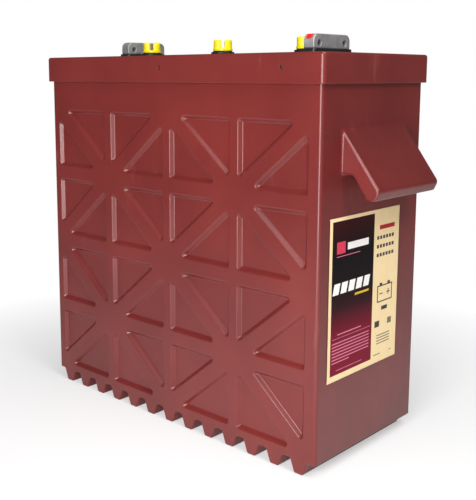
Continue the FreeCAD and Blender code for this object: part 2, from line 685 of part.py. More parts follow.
def plate_guard(i):
    """Perforated sheet over the plates, slotted where the two rows of lugs come through."""
    x = CELL_X[i]
    low = SEPARATOR_TOP_Z
    high = low + GUARD_T
    margin = 2 * (JAR_WALL + GUARD_GAP)
    guard = rounded_block(x, 0, JAR_X - margin, JAR_Y - margin, JAR_R, low, high)
    half_x = POSITIVES * PLATE_PITCH + POSITIVE_T / 2 + GUARD_SLOT_PLAY[0]
    half_y = LUG_TAB_Y / 2 + GUARD_SLOT_PLAY[1]
    cuts = [block(x - half_x, x + half_x, side * STRAP_Y - half_y, side * STRAP_Y + half_y, low,
                  high) for side in (-1, 1)]
    for row_y in GUARD_ROWS:
        for k in range(-GUARD_HOLES_BESIDE, GUARD_HOLES_BESIDE + 1):
            cuts.append(upright(x + GUARD_HOLE_PITCH * k, row_y, GUARD_HOLE_R, low, high))
    return guard.cut(cuts)


# ---------------------------------------------------------------- output
def main():
    os.makedirs("parts", exist_ok=True)
    save("outer_case", outer_case())
    save("case_lid", case_lid())
    save("lid_screws", lid_screws())
    save("end_label", end_label())
    save("terminal_positive", terminal(POS_TERMINAL))
    save("terminal_negative", terminal(NEG_TERMINAL))
    save("terminal_base_positive", terminal_base(POS_TERMINAL))
    save("terminal_base_negative", terminal_base(NEG_TERMINAL))
    save("polarity_mark_positive", polarity_mark())
    per_cell = (cell_jar, cell_cover, plate_rest, positive_plates, negative_plates, separators,
                positive_strap, negative_strap, plate_guard, post_seals, vent_neck, vent_gasket,
                vent_cap, vent_baffle)
    for make in per_cell:
        for i in range(CELL_COUNT):
            save(make.__name__ + "_" + str(i + 1), make(i))
    for i in range(CELL_COUNT - 1):
        save("intercell_link_" + str(i + 1) + "_" + str(i + 2), intercell_link(i))


main()
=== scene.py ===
"""Looks of a tall deep cycle battery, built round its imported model.

Metres, +Z up, the front faces -Y and the label is on the +X end.  The case, lid, terminals, vents
and label are surfaces worked out here; the pieces inside the case stay as packed, with finishes.
A patch is a pair (points, faces); patches of one piece meet point to point and are welded.
"""
import json
import math

import bmesh
import bpy
import numpy as np
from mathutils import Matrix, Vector
from mathutils.geometry import tessellate_polygon


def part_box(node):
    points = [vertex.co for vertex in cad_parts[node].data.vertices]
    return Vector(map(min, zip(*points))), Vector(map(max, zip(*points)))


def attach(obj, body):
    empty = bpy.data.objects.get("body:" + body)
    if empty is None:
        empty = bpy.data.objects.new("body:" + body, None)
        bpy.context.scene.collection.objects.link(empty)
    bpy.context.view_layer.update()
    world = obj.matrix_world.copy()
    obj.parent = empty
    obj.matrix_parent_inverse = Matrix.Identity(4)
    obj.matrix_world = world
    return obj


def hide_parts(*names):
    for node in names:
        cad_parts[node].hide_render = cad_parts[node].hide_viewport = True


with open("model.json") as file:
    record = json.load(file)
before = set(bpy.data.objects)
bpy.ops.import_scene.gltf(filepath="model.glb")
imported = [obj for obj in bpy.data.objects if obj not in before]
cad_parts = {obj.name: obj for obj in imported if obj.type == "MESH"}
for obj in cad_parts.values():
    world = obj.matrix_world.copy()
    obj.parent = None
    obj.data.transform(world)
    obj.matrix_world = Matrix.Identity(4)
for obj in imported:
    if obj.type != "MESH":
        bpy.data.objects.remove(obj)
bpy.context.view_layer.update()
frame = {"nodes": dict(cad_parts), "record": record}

CELLS = 3
MM = 0.001

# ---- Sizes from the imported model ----
LID_LOW, LID_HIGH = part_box("case_lid")
_, CASE_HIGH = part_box("outer_case")
LABEL_LOW, LABEL_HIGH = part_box("end_label")
LID_OVERHANG = 6 * MM
CASE_X = LID_HIGH.x - LID_OVERHANG        # half length of the case without its hoods
CASE_Y = CASE_HIGH.y
CASE_TOP = CASE_HIGH.z
CASE_FOOT = 20 * MM                       # height of the underside between the ribs
CASE_CORNER_R = 5 * MM
CASE_FOOT_R = 2.5 * MM
CAVITY_X = CASE_X - 11 * MM
CAVITY_Y = CASE_Y - 15 * MM
CAVITY_R = 5 * MM
CAVITY_FLOOR = CASE_FOOT + 8 * MM

RIB_COUNT = 13
RIB_PITCH = 43.2 * MM
RIB_ROOT = 30 * MM
RIB_TIP = 15 * MM
RIB_R = 4 * MM

STAR_PITCH_X = 277.5 * MM
STAR_MIDDLE_X = -2.5 * MM
STAR_PITCH_Z = 240 * MM
STAR_LOW_Z = 142 * MM
STAR_HALF_X = 131 * MM
STAR_HALF_Z = 109 * MM
UPRIGHT_ARM = 15.5 * MM
LEVEL_ARM = 22 * MM
DIAGONAL_ARM = 23 * MM
POCKET_R = 5 * MM
POCKET_FLOOR_R = 1.2 * MM                 # smallest radius of its corners further in
POCKET_DEPTH = 6 * MM
POCKET_RUN = 5 * MM
POCKET_LIP_R = 3 * MM
POCKET_FOOT_R = 3 * MM

HOOD_Y = 80 * MM
HOOD_TOP = 480 * MM
HOOD_LIP = CASE_HIGH.x + 1.27 * MM        # the lip's outer corner before it is rounded
HOOD_LIP_Z = 401 * MM
HOOD_FOOT_Z = 387 * MM
HOOD_ROOF_Z = 419 * MM
HOOD_LOWER_X = HOOD_LIP - 6.5 * MM        # the lip's lower corner
HOOD_SEAM_X = HOOD_LIP - 13.5 * MM        # middle of the lip's underside
HOOD_INNER_X = HOOD_LIP - 20.5 * MM       # the lip's inner corner
HOOD_BEND_X = HOOD_LIP - 42.5 * MM        # where the roof turns down
HOOD_UPPER_ROUNDS = (8 * MM, 5 * MM)
HOOD_LOWER_ROUNDS = (9 * MM, 4.5 * MM)
HOOD_EDGE_R = 4 * MM
HOOD_FILLET = 4 * MM                      # round the hood's foot, on the end wall
HOOD_DRAFT = 0.03                         # how much narrower it gets as it leaves the wall
HOOD_STEPS = 72
# The upper and lower lines are paired at these shares of the way, at these lengths along them.
HOOD_SHARES = (0, 0.4, 0.7, 1)
HOOD_UPPER_RUNS = (60 * MM, 94 * MM)
HOOD_LOWER_RUNS = (19 * MM, 55 * MM)

LID_CORNER_R = 6 * MM
LID_EDGE_R = 4 * MM
SKIRT_FOOT_R = 1 * MM
SKIRT_GAP = 0.3 * MM
SCREW_X = (-10 * MM, 224.5 * MM)
SCREW_Z = 561 * MM
SCREW_RECESS_R = 2.85 * MM
SCREW_RECESS_DEPTH = 5 * MM
NECK_HOLE_R = 16 * MM
POST_HOLE_R = 12.5 * MM

# ---- Terminals ----
TERMINAL_R = 9.5 * MM                     # rounding of the upper ends
TERMINAL_FOOT_R = 2 * MM
TERMINAL_EDGE_R = 1.2 * MM
BOLT_R = 4.5 * MM
BOLT_ASIDE = 30 * MM                      # from the middle of the block
BOLT_BELOW_TOP = 12.5 * MM
BASE_R = 5 * MM
BASE_HOLE_R = 11.2 * MM
MARK_R = TERMINAL_R + 0.85 * MM
MARK_T = 0.8 * MM
MARK_ANGLES = (15, 65)                    # degrees from the block's face

# ---- Vent caps ----
FLANGE_R = 15.75 * MM
FLANGE_ROUND = 1.2 * MM
SEAT_Z = 588.5 * MM
SHOULDER_Z = 593 * MM
STEM_R = 11 * MM
STEM_BORE_R = 8.6 * MM
STEM_BORE_RISE = 1.5 * MM                 # how far the bore goes up into the flange
LOBE_OUTER = 14.7 * MM                    # the grip lobes' reach along and across the grip
LOBE_INNER = 2.6 * MM
LOBE_ASIDE = 11.2 * MM
LOBE_OUTER_R = 8.2 * MM
LOBE_INNER_R = 2.2 * MM
LOBE_TOP_R = 2.4 * MM
LOBE_SUNK = 1 * MM                        # how far a lobe reaches into the flange
VENT_HOLE_R = 1 * MM
VENT_HOLE_OUT = 6.2 * MM
LUG_INNER = 9.5 * MM
LUG_OUTER = 13.3 * MM
LUG_Z = (572 * MM, 575 * MM)
LUG_R = 0.6 * MM
LUG_HALF_ANGLE = 11                       # degrees
GRIP_TURN = math.radians(44)

HOLD = 0.5 * MM                           # flat margin beside a rounding, so that flats shade flat
WELD = 2e-6


# ---------------------------------------------------------------- outlines and patches
def arc_outline(corners, radii, steps=8, closed=True):
    """Outline of straight runs joined by tangent arcs, and its outward normals, as two arrays.

    Going round anticlockwise, a run's outward normal is its direction turned by -90 degrees.
    A corner's arc is centre + side * radius * n(a): n(a) turns evenly from the first run's normal
    to the second's, and side is 1 at an outer corner and -1 at an inner one.
    """
    corners = np.array(corners, float)
    runs = np.roll(corners, -1, 0) - corners
    runs /= np.linalg.norm(runs, axis=1)[:, None]
    outward = np.stack([runs[:, 1], -runs[:, 0]], 1)
    points, normals = [], []
    for i, (corner, radius) in enumerate(zip(corners, radii)):
        before = outward[i] if i == 0 and not closed else outward[i - 1]
        after = outward[i - 1] if i == len(corners) - 1 and not closed else outward[i]
        if radius == 0:
            points.append(corner[None])
            normals.append(before[None])
            continue
        turn = math.atan2(before[0] * after[1] - before[1] * after[0], before @ after)
        side = math.copysign(1, turn)
        centre = corner - side * radius * (before + after) / (1 + before @ after)
        angles = math.atan2(before[1], before[0]) + turn * np.linspace(0, 1, steps + 1)
        normal = np.stack([np.cos(angles), np.sin(angles)], 1)
        arc = centre + side * radius * normal
        points += [arc[:1] - HOLD * runs[i - 1], arc, arc[-1:] + HOLD * runs[i]]
        normals += [before[None], normal, after[None]]
    return np.concatenate(points), np.concatenate(normals)


def rectangle(low_a, high_a, low_b, high_b, radius, steps=8):
    """Rounded rectangle, anticlockwise from its lower right corner, with its outward normals."""
    corners = [(high_a, low_b), (high_a, high_b), (low_a, high_b), (low_a, low_b)]
    return arc_outline(corners, [radius] * 4, steps)


def circle(a, b, radius, steps=32):
    """Circle (a, b) + radius * (cos t, sin t), with its outward normals."""
    t = np.linspace(0, 2 * math.pi, steps, endpoint=False)
    normal = np.stack([np.cos(t), np.sin(t)], 1)
    return np.array([a, b]) + radius * normal, normal


def edge_profile(radius, steps=5):
    """Inset and depth across a quarter-round edge: radius * (1 - sin a, 1 - cos a), with margins."""
    a = np.linspace(0, math.pi / 2, steps + 1)
    arc = radius * np.stack([1 - np.sin(a), 1 - np.cos(a)], 1)
    return np.vstack([[radius + HOLD, 0], arc, [0, radius + HOLD]])


def level(outline, z):
    """Outline of (x, y) points at height z."""
    return np.column_stack([outline, np.full(len(outline), z)])


def upright(outline, y):
    """Outline of (x, z) points in the plane at y."""
    return np.column_stack([outline[:, 0], np.full(len(outline), y), outline[:, 1]])


def band(rings, closed=True):
    """Quads between neighbouring rings of points; each ring meets its own start where closed."""
    rings = np.asarray(rings)
    rows, columns = rings.shape[:2]
    row, column = np.meshgrid(np.arange(rows - 1), np.arange(columns - (not closed)), indexing="ij")
    following = (column + 1) % columns
    corners = (row * columns + column, row * columns + following,
               (row + 1) * columns + following, (row + 1) * columns + column)
    return rings.reshape(-1, 3), np.stack(corners, -1).reshape(-1, 4)


def flat_face(outer, holes=()):
    """Triangles of a flat face inside its outer ring and outside the rings of its holes."""
    rings = [outer, *holes]
    triangles = tessellate_polygon([[Vector(point) for point in ring] for ring in rings])
    return np.concatenate(rings), np.array(triangles)


def half_turn(patches):
    """The patches turned half a turn about the upright centre line: (x, y) becomes (-x, -y)."""
    return [(points * (-1, -1, 1), faces) for points, faces in patches]


def slab(outline, thickness, edges, holes=(), hole_edge=0.4 * MM):
    """Plate in its own (a, b, depth) space: rounded rims, flat faces and round through holes.

    A rim's rings are outline - normal * inset at the depths of an edge profile, first from the
    front face and then, mirrored, from the back face; a hole's insets go outwards instead.
    """
    def rim(points, normals, radii, side):
        """Rings across one rim; side is 1 outside and -1 in a hole."""
        front = [level(points - side * inset * normals, depth)
                 for inset, depth in edge_profile(radii[0])]
        back = [level(points - side * inset * normals, thickness - depth)
                for inset, depth in edge_profile(radii[1])[::-1]]
        return np.array(front + back)

    outside = rim(*outline, edges, 1)
    bores = [rim(*hole, (hole_edge, hole_edge), -1) for hole in holes]
    patches = [band(rings) for rings in (outside, *bores)]
    for face in (0, -1):
        patches.append(flat_face(outside[face], [bore[face] for bore in bores]))
    return patches


def placed(patches, origin, a_axis, b_axis, depth_axis):
    """Patches moved from (a, b, depth) space: origin + a * a_axis + b * b_axis + depth * depth_axis."""
    axes = np.array([a_axis, b_axis, depth_axis], float)
    return [(np.array(origin) + points @ axes, faces) for points, faces in patches]


def lathe(profile, x, y, steps=64):
    """Profile of (radius, z) points turned about the upright axis at (x, y)."""
    profile = np.array(profile, float)
    t = np.linspace(0, 2 * math.pi, steps, endpoint=False)
    ring = np.stack([np.cos(t), np.sin(t)], 1)
    rings = profile[:, 0, None, None] * ring[None] + np.array([x, y])
    heights = np.broadcast_to(profile[:, 1, None, None], (*rings.shape[:2], 1))
    return band(np.concatenate([rings, heights], 2))


def piece(name, patches, material, body, slot, *replaced):
    """One object from welded patches, with faces outwards, riding on its body."""
    points = np.concatenate([points for points, _ in patches])
    faces = []
    offset = 0
    for patch_points, patch_faces in patches:
        faces += (patch_faces + offset).tolist()
        offset += len(patch_points)
    mesh = bpy.data.meshes.new(name)
    mesh.from_pydata(points, [], faces)
    bm = bmesh.new()
    bm.from_mesh(mesh)
    bmesh.ops.remove_doubles(bm, verts=bm.verts, dist=WELD)
    bmesh.ops.dissolve_degenerate(bm, dist=WELD / 2, edges=bm.edges)
    bmesh.ops.recalc_face_normals(bm, faces=bm.faces)
    bm.to_mesh(mesh)
    bm.free()
    return dress(bpy.data.objects.new(name, mesh), material, body, slot, *replaced)


def dress(obj, material, body, slot, *replaced):
    """Links the object, smooths it up to a corner of 35 degrees and ties it to the frame."""
    bpy.context.scene.collection.objects.link(obj)
    obj.data.materials.clear()
    obj.data.materials.append(material)
    obj.data.shade_smooth()
    obj.data.set_sharp_from_angle(angle=math.radians(35))
    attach(obj, body)
    if replaced:
        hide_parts(*replaced)
    return obj


def merged_copy(node, name, material, body, slot):
    """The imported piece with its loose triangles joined, so that round faces shade round."""
    mesh = frame["nodes"][node].data.copy()
    bm = bmesh.new()
    bm.from_mesh(mesh)
    bmesh.ops.remove_doubles(bm, verts=bm.verts, dist=WELD)
    bm.to_mesh(mesh)
    bm.free()
    return dress(bpy.data.objects.new(name, mesh), material, body, slot, node)


# ---------------------------------------------------------------- case
def star_triangles(centre_x, centre_z):
    """The eight triangles between the arms of one star, anticlockwise as (x, z) corners."""
    side, top = UPRIGHT_ARM / 2, LEVEL_ARM / 2
    slope = STAR_HALF_Z / STAR_HALF_X
    shift = DIAGONAL_ARM / 2 * math.hypot(1, slope)
    beside = [((top + shift) / slope, top), (STAR_HALF_X, top),
              (STAR_HALF_X, slope * STAR_HALF_X - shift)]
    above = [(side, slope * side + shift), ((STAR_HALF_Z - shift) / slope, STAR_HALF_Z),
             (side, STAR_HALF_Z)]
    triangles = []
    for triangle in (beside, above):
        for side_x in (-1, 1):
            for side_z in (-1, 1):
                corners = [(centre_x + side_x * x, centre_z + side_z * z) for x, z in triangle]
                triangles.append(corners if side_x == side_z else corners[::-1])
    return triangles


def pocket_rings(triangle):
    """Rings down a pocket: the triangle with its sides moved in, and its corners rounded anew.

    A side's inset moves every corner towards the incentre by inset * perimeter / (2 * area).
    """
    corners = np.array(triangle)
    facing = np.linalg.norm(np.roll(corners, -1, 0) - np.roll(corners, 1, 0), axis=1)
    around = facing.sum()
    centre = facing @ corners / around
    (ax, az), (bx, bz) = corners[1:] - corners[0]
    doubled_area = abs(ax * bz - az * bx)
    rings = []
    for inset, depth in pocket_profile():
        shrunk = centre + (corners - centre) * (1 - inset * around / doubled_area)
        radius = max(POCKET_R - inset, POCKET_FLOOR_R)
        rings.append(upright(arc_outline(shrunk, [radius] * 3)[0], depth - CASE_Y))
    return rings


def pocket_profile(steps=6):
    """Inset and depth across a pocket's edge: margin, rounded lip, leaning wall, rounded foot.

    Lip and foot are arcs that turn by the wall's lean, tangent to the face, the wall and the floor.
    """
    lean = math.atan2(POCKET_DEPTH, POCKET_RUN)
    a = np.linspace(0, lean, steps + 1)
    turned = np.stack([np.sin(a), 1 - np.cos(a)], 1)
    lip = POCKET_LIP_R * turned - (POCKET_LIP_R * math.tan(lean / 2), 0)
    foot_end = POCKET_RUN + POCKET_FOOT_R * math.tan(lean / 2)
    foot = (foot_end, POCKET_DEPTH) - POCKET_FOOT_R * turned[::-1]
    return np.vstack([lip[0] - (HOLD, 0), lip, foot, foot[-1] + (HOLD / 2, 0)])


def comb_outline():
    """Underside from end to end as (x, z): trapezoid ribs with rounded roots and tips."""
    reach = CASE_X - CASE_CORNER_R - 2 * HOLD
    corners = [(-reach, CASE_FOOT)]
    for i in range(RIB_COUNT):
        x = (i - (RIB_COUNT - 1) / 2) * RIB_PITCH
        corners += [(x - RIB_ROOT / 2, CASE_FOOT), (x - RIB_TIP / 2, 0), (x + RIB_TIP / 2, 0),
                    (x + RIB_ROOT / 2, CASE_FOOT)]
    corners.append((reach, CASE_FOOT))
    return arc_outline(corners, [0] + [RIB_R] * (4 * RIB_COUNT) + [0], steps=6, closed=False)


def front_side(comb):
    """Front face of the case with its sunk triangles, down to the rounded edge of the ribs."""
    patches = []
    holes = []
    for centre_x in (STAR_MIDDLE_X - STAR_PITCH_X / 2, STAR_MIDDLE_X + STAR_PITCH_X / 2):
        for centre_z in (STAR_LOW_Z, STAR_LOW_Z + STAR_PITCH_Z):
            for triangle in star_triangles(centre_x, centre_z):
                rings = pocket_rings(triangle)
                patches += [band(rings), flat_face(rings[-1])]
                holes.append(rings[0])
    points, normals = comb
    foot = points - (CASE_FOOT_R + HOLD) * normals
    reach = points[-1, 0]
    top = np.array([(reach, CASE_TOP), (-reach, CASE_TOP)])
    patches.append(flat_face(upright(np.vstack([foot, top]), -CASE_Y), holes))
    return patches


def underside(comb):
    """Ribs carried from the front to the back, with a rounded edge along both faces."""
    points, normals = comb
    profile = edge_profile(CASE_FOOT_R)
    front = [upright(points - inset * normals, depth - CASE_Y) for inset, depth in profile]
    back = [upright(points - inset * normals, CASE_Y - depth) for inset, depth in profile[::-1]]
    return band(front + back, closed=False)


def end_path():
    """Plan of the +X end from the front face to the back face, with its outward normals."""
    start = CASE_X - CASE_CORNER_R - 2 * HOLD
    corners = [(start, -CASE_Y), (CASE_X, -CASE_Y), (CASE_X, CASE_Y), (start, CASE_Y)]
    return arc_outline(corners, [0, CASE_CORNER_R, CASE_CORNER_R, 0], closed=False)


def at_lengths(points, lengths):
    """Points of a path at the given distances along it."""
    run = np.concatenate([[0], np.cumsum(np.linalg.norm(np.diff(points, axis=0), axis=1))])
    return np.stack([np.interp(lengths, run, points[:, k]) for k in (0, 1)], 1)


def hood_ring(low, high, half_y, radius, hold):
    """Rings of rounded rectangles, one row for each pair of (x, z) points low and high.

    A ring goes round the hood: y is sign * (half_y - radius) + radius * cos a, and the place
    between low and high is a radius from its end, plus radius * sin a, over each quarter turn.
    """
    quarter = np.linspace(0, math.pi / 2, 7)
    ends = [(math.cos(a), math.sin(a), 0, 0) for a in quarter]
    ends = [(1, 0, 0, -1)] + ends + [(0, 1, -1, 0)]
    ring = [(c, s, dy, db, 1, 1) for c, s, dy, db in ends]
    ring += [(-c, s, -dy, db, -1, 1) for c, s, dy, db in ends[::-1]]
    ring += [(-c, -s, -dy, -db, -1, 0) for c, s, dy, db in ends]
    ring += [(c, -s, dy, -db, 1, 0) for c, s, dy, db in ends[::-1]]
    cos_a, sin_a, step_y, step_b, side, upper = np.array(ring, float).T
    height = np.linalg.norm(high - low, axis=1)
    across = (high - low) / np.maximum(height, 1e-9)[:, None]
    y = side * (half_y - radius)[:, None] + radius[:, None] * cos_a + hold[:, None] * step_y
    b = (upper * (height - 2 * radius)[:, None] + radius[:, None] * (1 + sin_a)
         + hold[:, None] * step_b)
    x = low[:, :1] + across[:, :1] * b
    z = low[:, 1:] + across[:, 1:] * b
    return np.stack([x, y, z], 2)


def hood_rings():
    """Hood from its foot on the wall to the seam under its lip, as rings, and its opening's ring.

    The upper line runs down the slope and round the lip, the lower line along the roof and down
    the inner slope.  The foot is a curve from the wall to the first ring, pulled to the corner.
    """
    seam = (HOOD_SEAM_X, HOOD_FOOT_Z)
    upper, _ = arc_outline([(CASE_X, HOOD_TOP), (HOOD_LIP, HOOD_LIP_Z),
                            (HOOD_LOWER_X, HOOD_FOOT_Z), seam],
                           [0, *HOOD_UPPER_ROUNDS, 0], steps=12, closed=False)
    lower, _ = arc_outline([(CASE_X, HOOD_ROOF_Z), (HOOD_BEND_X, HOOD_ROOF_Z),
                            (HOOD_INNER_X, HOOD_FOOT_Z), seam],
                           [0, *HOOD_LOWER_ROUNDS, 0], steps=12, closed=False)
    t = np.linspace(0, 1, HOOD_STEPS)
    total_upper, total_lower = (np.linalg.norm(np.diff(path, axis=0), axis=1).sum()
                                for path in (upper, lower))
    upper_lengths = np.interp(t, HOOD_SHARES, (0, *HOOD_UPPER_RUNS, total_upper))
    lower_lengths = np.interp(t, HOOD_SHARES, (0, *HOOD_LOWER_RUNS, total_lower))
    high = at_lengths(upper, upper_lengths)
    low = at_lengths(lower, lower_lengths)
    height = np.linalg.norm(high - low, axis=1)
    radius = np.minimum(HOOD_EDGE_R, height / 2)
    middle = (high + low) / 2
    to_seam = np.linalg.norm(middle - middle[-1], axis=1)
    short = np.clip(HOOD_EDGE_R - to_seam, 0, HOOD_EDGE_R)
    half_y = HOOD_Y - HOOD_DRAFT * (middle[:, 0] - CASE_X)
    half_y = half_y - HOOD_EDGE_R + np.sqrt(HOOD_EDGE_R ** 2 - short ** 2)
    rings = hood_ring(low, high, half_y, radius, np.minimum(HOLD, height / 4))

    def foot(out):
        """Ring on the wall that stands off the hood's section by out."""
        spread = np.array([[0, out]])
        return hood_ring(low[:1] - spread, high[:1] + spread, half_y[:1] + out,
                         radius[:1] + out, np.array([HOLD]))[0]

    first = int(np.searchsorted(upper_lengths, 1.4 * HOOD_FILLET))
    start, corner, end = foot(HOOD_FILLET), rings[0], rings[first]
    bend = [(1 - u) ** 2 * start + 2 * u * (1 - u) * corner + u ** 2 * end
            for u in np.linspace(0, 1, 8)[:-1]]
    opening = foot(HOOD_FILLET + HOLD)
    return np.concatenate([[opening], bend, rings[first:]]), opening


def end_side():
    """The +X end: rounded corners, end wall round the hood, rounded foot and its underside."""
    path, normals = end_path()
    middle = len(path) // 2
    foot = np.array([level(path - inset * normals, CASE_FOOT + depth)
                     for inset, depth in edge_profile(CASE_FOOT_R)])
    top = level(path, CASE_TOP)
    hood, opening = hood_rings()
    wall = np.array([foot[-1][middle - 1], foot[-1][middle], top[middle], top[middle - 1]])
    return [band(foot, closed=False), flat_face(foot[0]), band(hood), flat_face(wall, [opening]),
            band([foot[-1][:middle], top[:middle]], closed=False),
            band([foot[-1][middle:], top[middle:]], closed=False)]


def cavity():
    """Rim, inner walls and inner floor of the case."""
    path, _ = end_path()
    outside = level(np.vstack([path, -path]), CASE_TOP)
    outline, _ = rectangle(-CAVITY_X, CAVITY_X, -CAVITY_Y, CAVITY_Y, CAVITY_R)
    rim = level(outline, CASE_TOP)
    floor = level(outline, CAVITY_FLOOR)
    return [flat_face(outside, [rim]), band([rim, floor]), flat_face(floor)]


def build_case(material):
    """Case as one closed shell: two halves alike by a half turn, the underside and the cavity."""
    comb = comb_outline()
    half = front_side(comb) + end_side()
    patches = half + half_turn(half) + [underside(comb)] + cavity()
    piece("case_shell", patches, material, "battery", "case_moulding", "outer_case")


# ---------------------------------------------------------------- lid
def build_lid(material):
    """Skirt and top: rings of (inset, height) round the outline, flat panels between them.

    The skirt's front and back are flat faces of their own, for the sunk screws; the top and its
    underside are flat faces with the holes for necks and posts.
    """
    outline, normals = rectangle(-LID_HIGH.x, LID_HIGH.x, -LID_HIGH.y, LID_HIGH.y, LID_CORNER_R)
    inner, inner_normals = rectangle(
        -CASE_X - SKIRT_GAP, CASE_X + SKIRT_GAP, -CASE_Y - SKIRT_GAP, CASE_Y + SKIRT_GAP,
        CASE_CORNER_R + SKIRT_GAP)

    def ring(inset, z):
        """The lid's outline moved in by inset, at height z."""
        return level(outline - inset * normals, z)

    low = LID_LOW.z
    foot = [ring(inset, low + depth) for inset, depth in edge_profile(SKIRT_FOOT_R)]
    edge = [ring(inset, LID_HIGH.z - depth) for inset, depth in edge_profile(LID_EDGE_R)[::-1]]
    inside = [level(inner - HOLD * inner_normals, CASE_TOP), level(inner, CASE_TOP),
              level(inner, low + HOLD), level(inner + HOLD * inner_normals, low)]
    patches = [band(inside + foot), band(edge)]
    half = len(outline) // 2
    for start in (0, half):
        columns = slice(start, start + half)
        patches.append(band([foot[-1][columns], edge[0][columns]], closed=False))
    panel = np.array([foot[-1][-1], foot[-1][0], edge[0][0], edge[0][-1]])
    recesses = []
    front = []
    for x in SCREW_X:
        hole, outward = circle(x, SCREW_Z, SCREW_RECESS_R, 24)
        rings = [upright(hole + inset * outward, depth - LID_HIGH.y)
                 for inset, depth in edge_profile(0.6 * MM)]
        rings.append(upright(hole, SCREW_RECESS_DEPTH - LID_HIGH.y))
        recesses.append(rings[0])
        front += [band(rings), flat_face(rings[-1])]
    front.append(flat_face(panel, recesses))
    patches += front + half_turn(front)
    bores = []
    for node in [f"vent_neck_{i + 1}" for i in range(CELLS)]:
        centre = middle_of(node)
        bores.append(circle(centre.x, centre.y, NECK_HOLE_R, 48)[0])
    for pole in ("positive", "negative"):
        centre = middle_of("terminal_" + pole)
        bores.append(circle(centre.x, centre.y, POST_HOLE_R, 48)[0])
    above = [level(bore, LID_HIGH.z) for bore in bores]
    below = [level(bore, CASE_TOP) for bore in bores]
    patches += [band([top, under]) for top, under in zip(above, below)]
    patches += [flat_face(edge[-1], above), flat_face(inside[0], below)]
    piece("lid_shell", patches, material, "battery", "lid_moulding", "case_lid")


def middle_of(node):
    """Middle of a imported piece's box."""
    low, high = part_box(node)
    return (low + high) / 2


# ---------------------------------------------------------------- terminals
def build_terminal(pole, lead, black):
    """Cast block with two bolt holes, standing on its moulded foot."""
    low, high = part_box("terminal_" + pole)
    outline = arc_outline([(high.y, low.z), (high.y, high.z), (low.y, high.z), (low.y, low.z)],
                          [TERMINAL_FOOT_R, TERMINAL_R, TERMINAL_R, TERMINAL_FOOT_R])
    middle = (low.y + high.y) / 2
    holes = [circle(middle + side * BOLT_ASIDE, high.z - BOLT_BELOW_TOP, BOLT_R)
             for side in (-1, 1)]
    block = slab(outline, high.x - low.x, (TERMINAL_EDGE_R, TERMINAL_EDGE_R), holes, 0.6 * MM)
    block = placed(block, (low.x, 0, 0), (0, 1, 0), (0, 0, 1), (1, 0, 0))
    piece("lead_block_" + pole, block, lead, "battery", "terminal_lead", "terminal_" + pole)
    low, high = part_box("terminal_base_" + pole)
    centre = middle_of("terminal_base_" + pole)
    foot = slab(rectangle(low.x, high.x, low.y, high.y, BASE_R), high.z - low.z,
                (1.5 * MM, 0.3 * MM), [circle(centre.x, centre.y, BASE_HOLE_R)])
    foot = placed(foot, (0, 0, high.z), (1, 0, 0), (0, 1, 0), (0, 0, -1))
    piece("foot_" + pole, foot, black, "battery", "black_moulding", "terminal_base_" + pole)


def build_polarity_mark(material):
    """Small pad bent round the block's upper front corner.

    A flat slab's a is taken as an angle about the corner's axis and its depth goes inwards, so
    (y, z) = axis + (radius - depth) * (-cos a, sin a).
    """
    low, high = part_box("polarity_mark_positive")
    block_low, block_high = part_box("terminal_positive")
    axis_y = block_low.y + TERMINAL_R
    axis_z = block_high.z - TERMINAL_R
    start, end = (MARK_R * math.radians(angle) for angle in MARK_ANGLES)
    pad = slab(rectangle(start, end, low.x, high.x, 2 * MM), MARK_T, (0.35 * MM, 0.1 * MM))
    bent = []
    for points, faces in pad:
        angle = points[:, 0] / MARK_R
        reach = MARK_R - points[:, 2]
        bent.append((np.column_stack([points[:, 1], axis_y - reach * np.cos(angle),
                                      axis_z + reach * np.sin(angle)]), faces))
    piece("red_mark", bent, material, "battery", "polarity_red", "polarity_mark_positive")


# ---------------------------------------------------------------- vents
def cap_body(x, foot_z):
    """Flange and hollow stem, turned: bore, foot, stem, seat, rim with a rounded top, shoulder."""
    rounding = np.linspace(0, math.pi / 2, 5)
    profile = [(0, SEAT_Z + STEM_BORE_RISE), (STEM_BORE_R, SEAT_Z + STEM_BORE_RISE),
               (STEM_BORE_R, foot_z + 0.5 * MM), (STEM_BORE_R + 0.4 * MM, foot_z),
               (STEM_R - 0.6 * MM, foot_z), (STEM_R, foot_z + 0.6 * MM), (STEM_R, SEAT_Z),
               (FLANGE_R - 0.4 * MM, SEAT_Z), (FLANGE_R, SEAT_Z + 0.4 * MM)]
    profile += [(FLANGE_R - FLANGE_ROUND * (1 - math.cos(a)),
                 SHOULDER_Z - FLANGE_ROUND * (1 - math.sin(a))) for a in rounding]
    profile.append((0, SHOULDER_Z))
    return lathe(profile, x, 0)


def lobe(x, top_z, side):
    """One grip lobe, rounder on its outer side, with a vent hole down its middle."""
    outline = arc_outline([(LOBE_OUTER, -LOBE_ASIDE), (LOBE_OUTER, LOBE_ASIDE),
                           (LOBE_INNER, LOBE_ASIDE), (LOBE_INNER, -LOBE_ASIDE)],
                          [LOBE_OUTER_R, LOBE_OUTER_R, LOBE_INNER_R, LOBE_INNER_R])
    block = slab(outline, top_z - SHOULDER_Z + LOBE_SUNK, (LOBE_TOP_R, 0.3 * MM),
                 [circle(VENT_HOLE_OUT, 0, VENT_HOLE_R, 16)], 0.3 * MM)
    along = np.array([math.cos(GRIP_TURN), math.sin(GRIP_TURN), 0])
    aside = np.array([-math.sin(GRIP_TURN), math.cos(GRIP_TURN), 0])
    return placed(block, (x, 0, top_z), side * along, side * aside, (0, 0, -1))


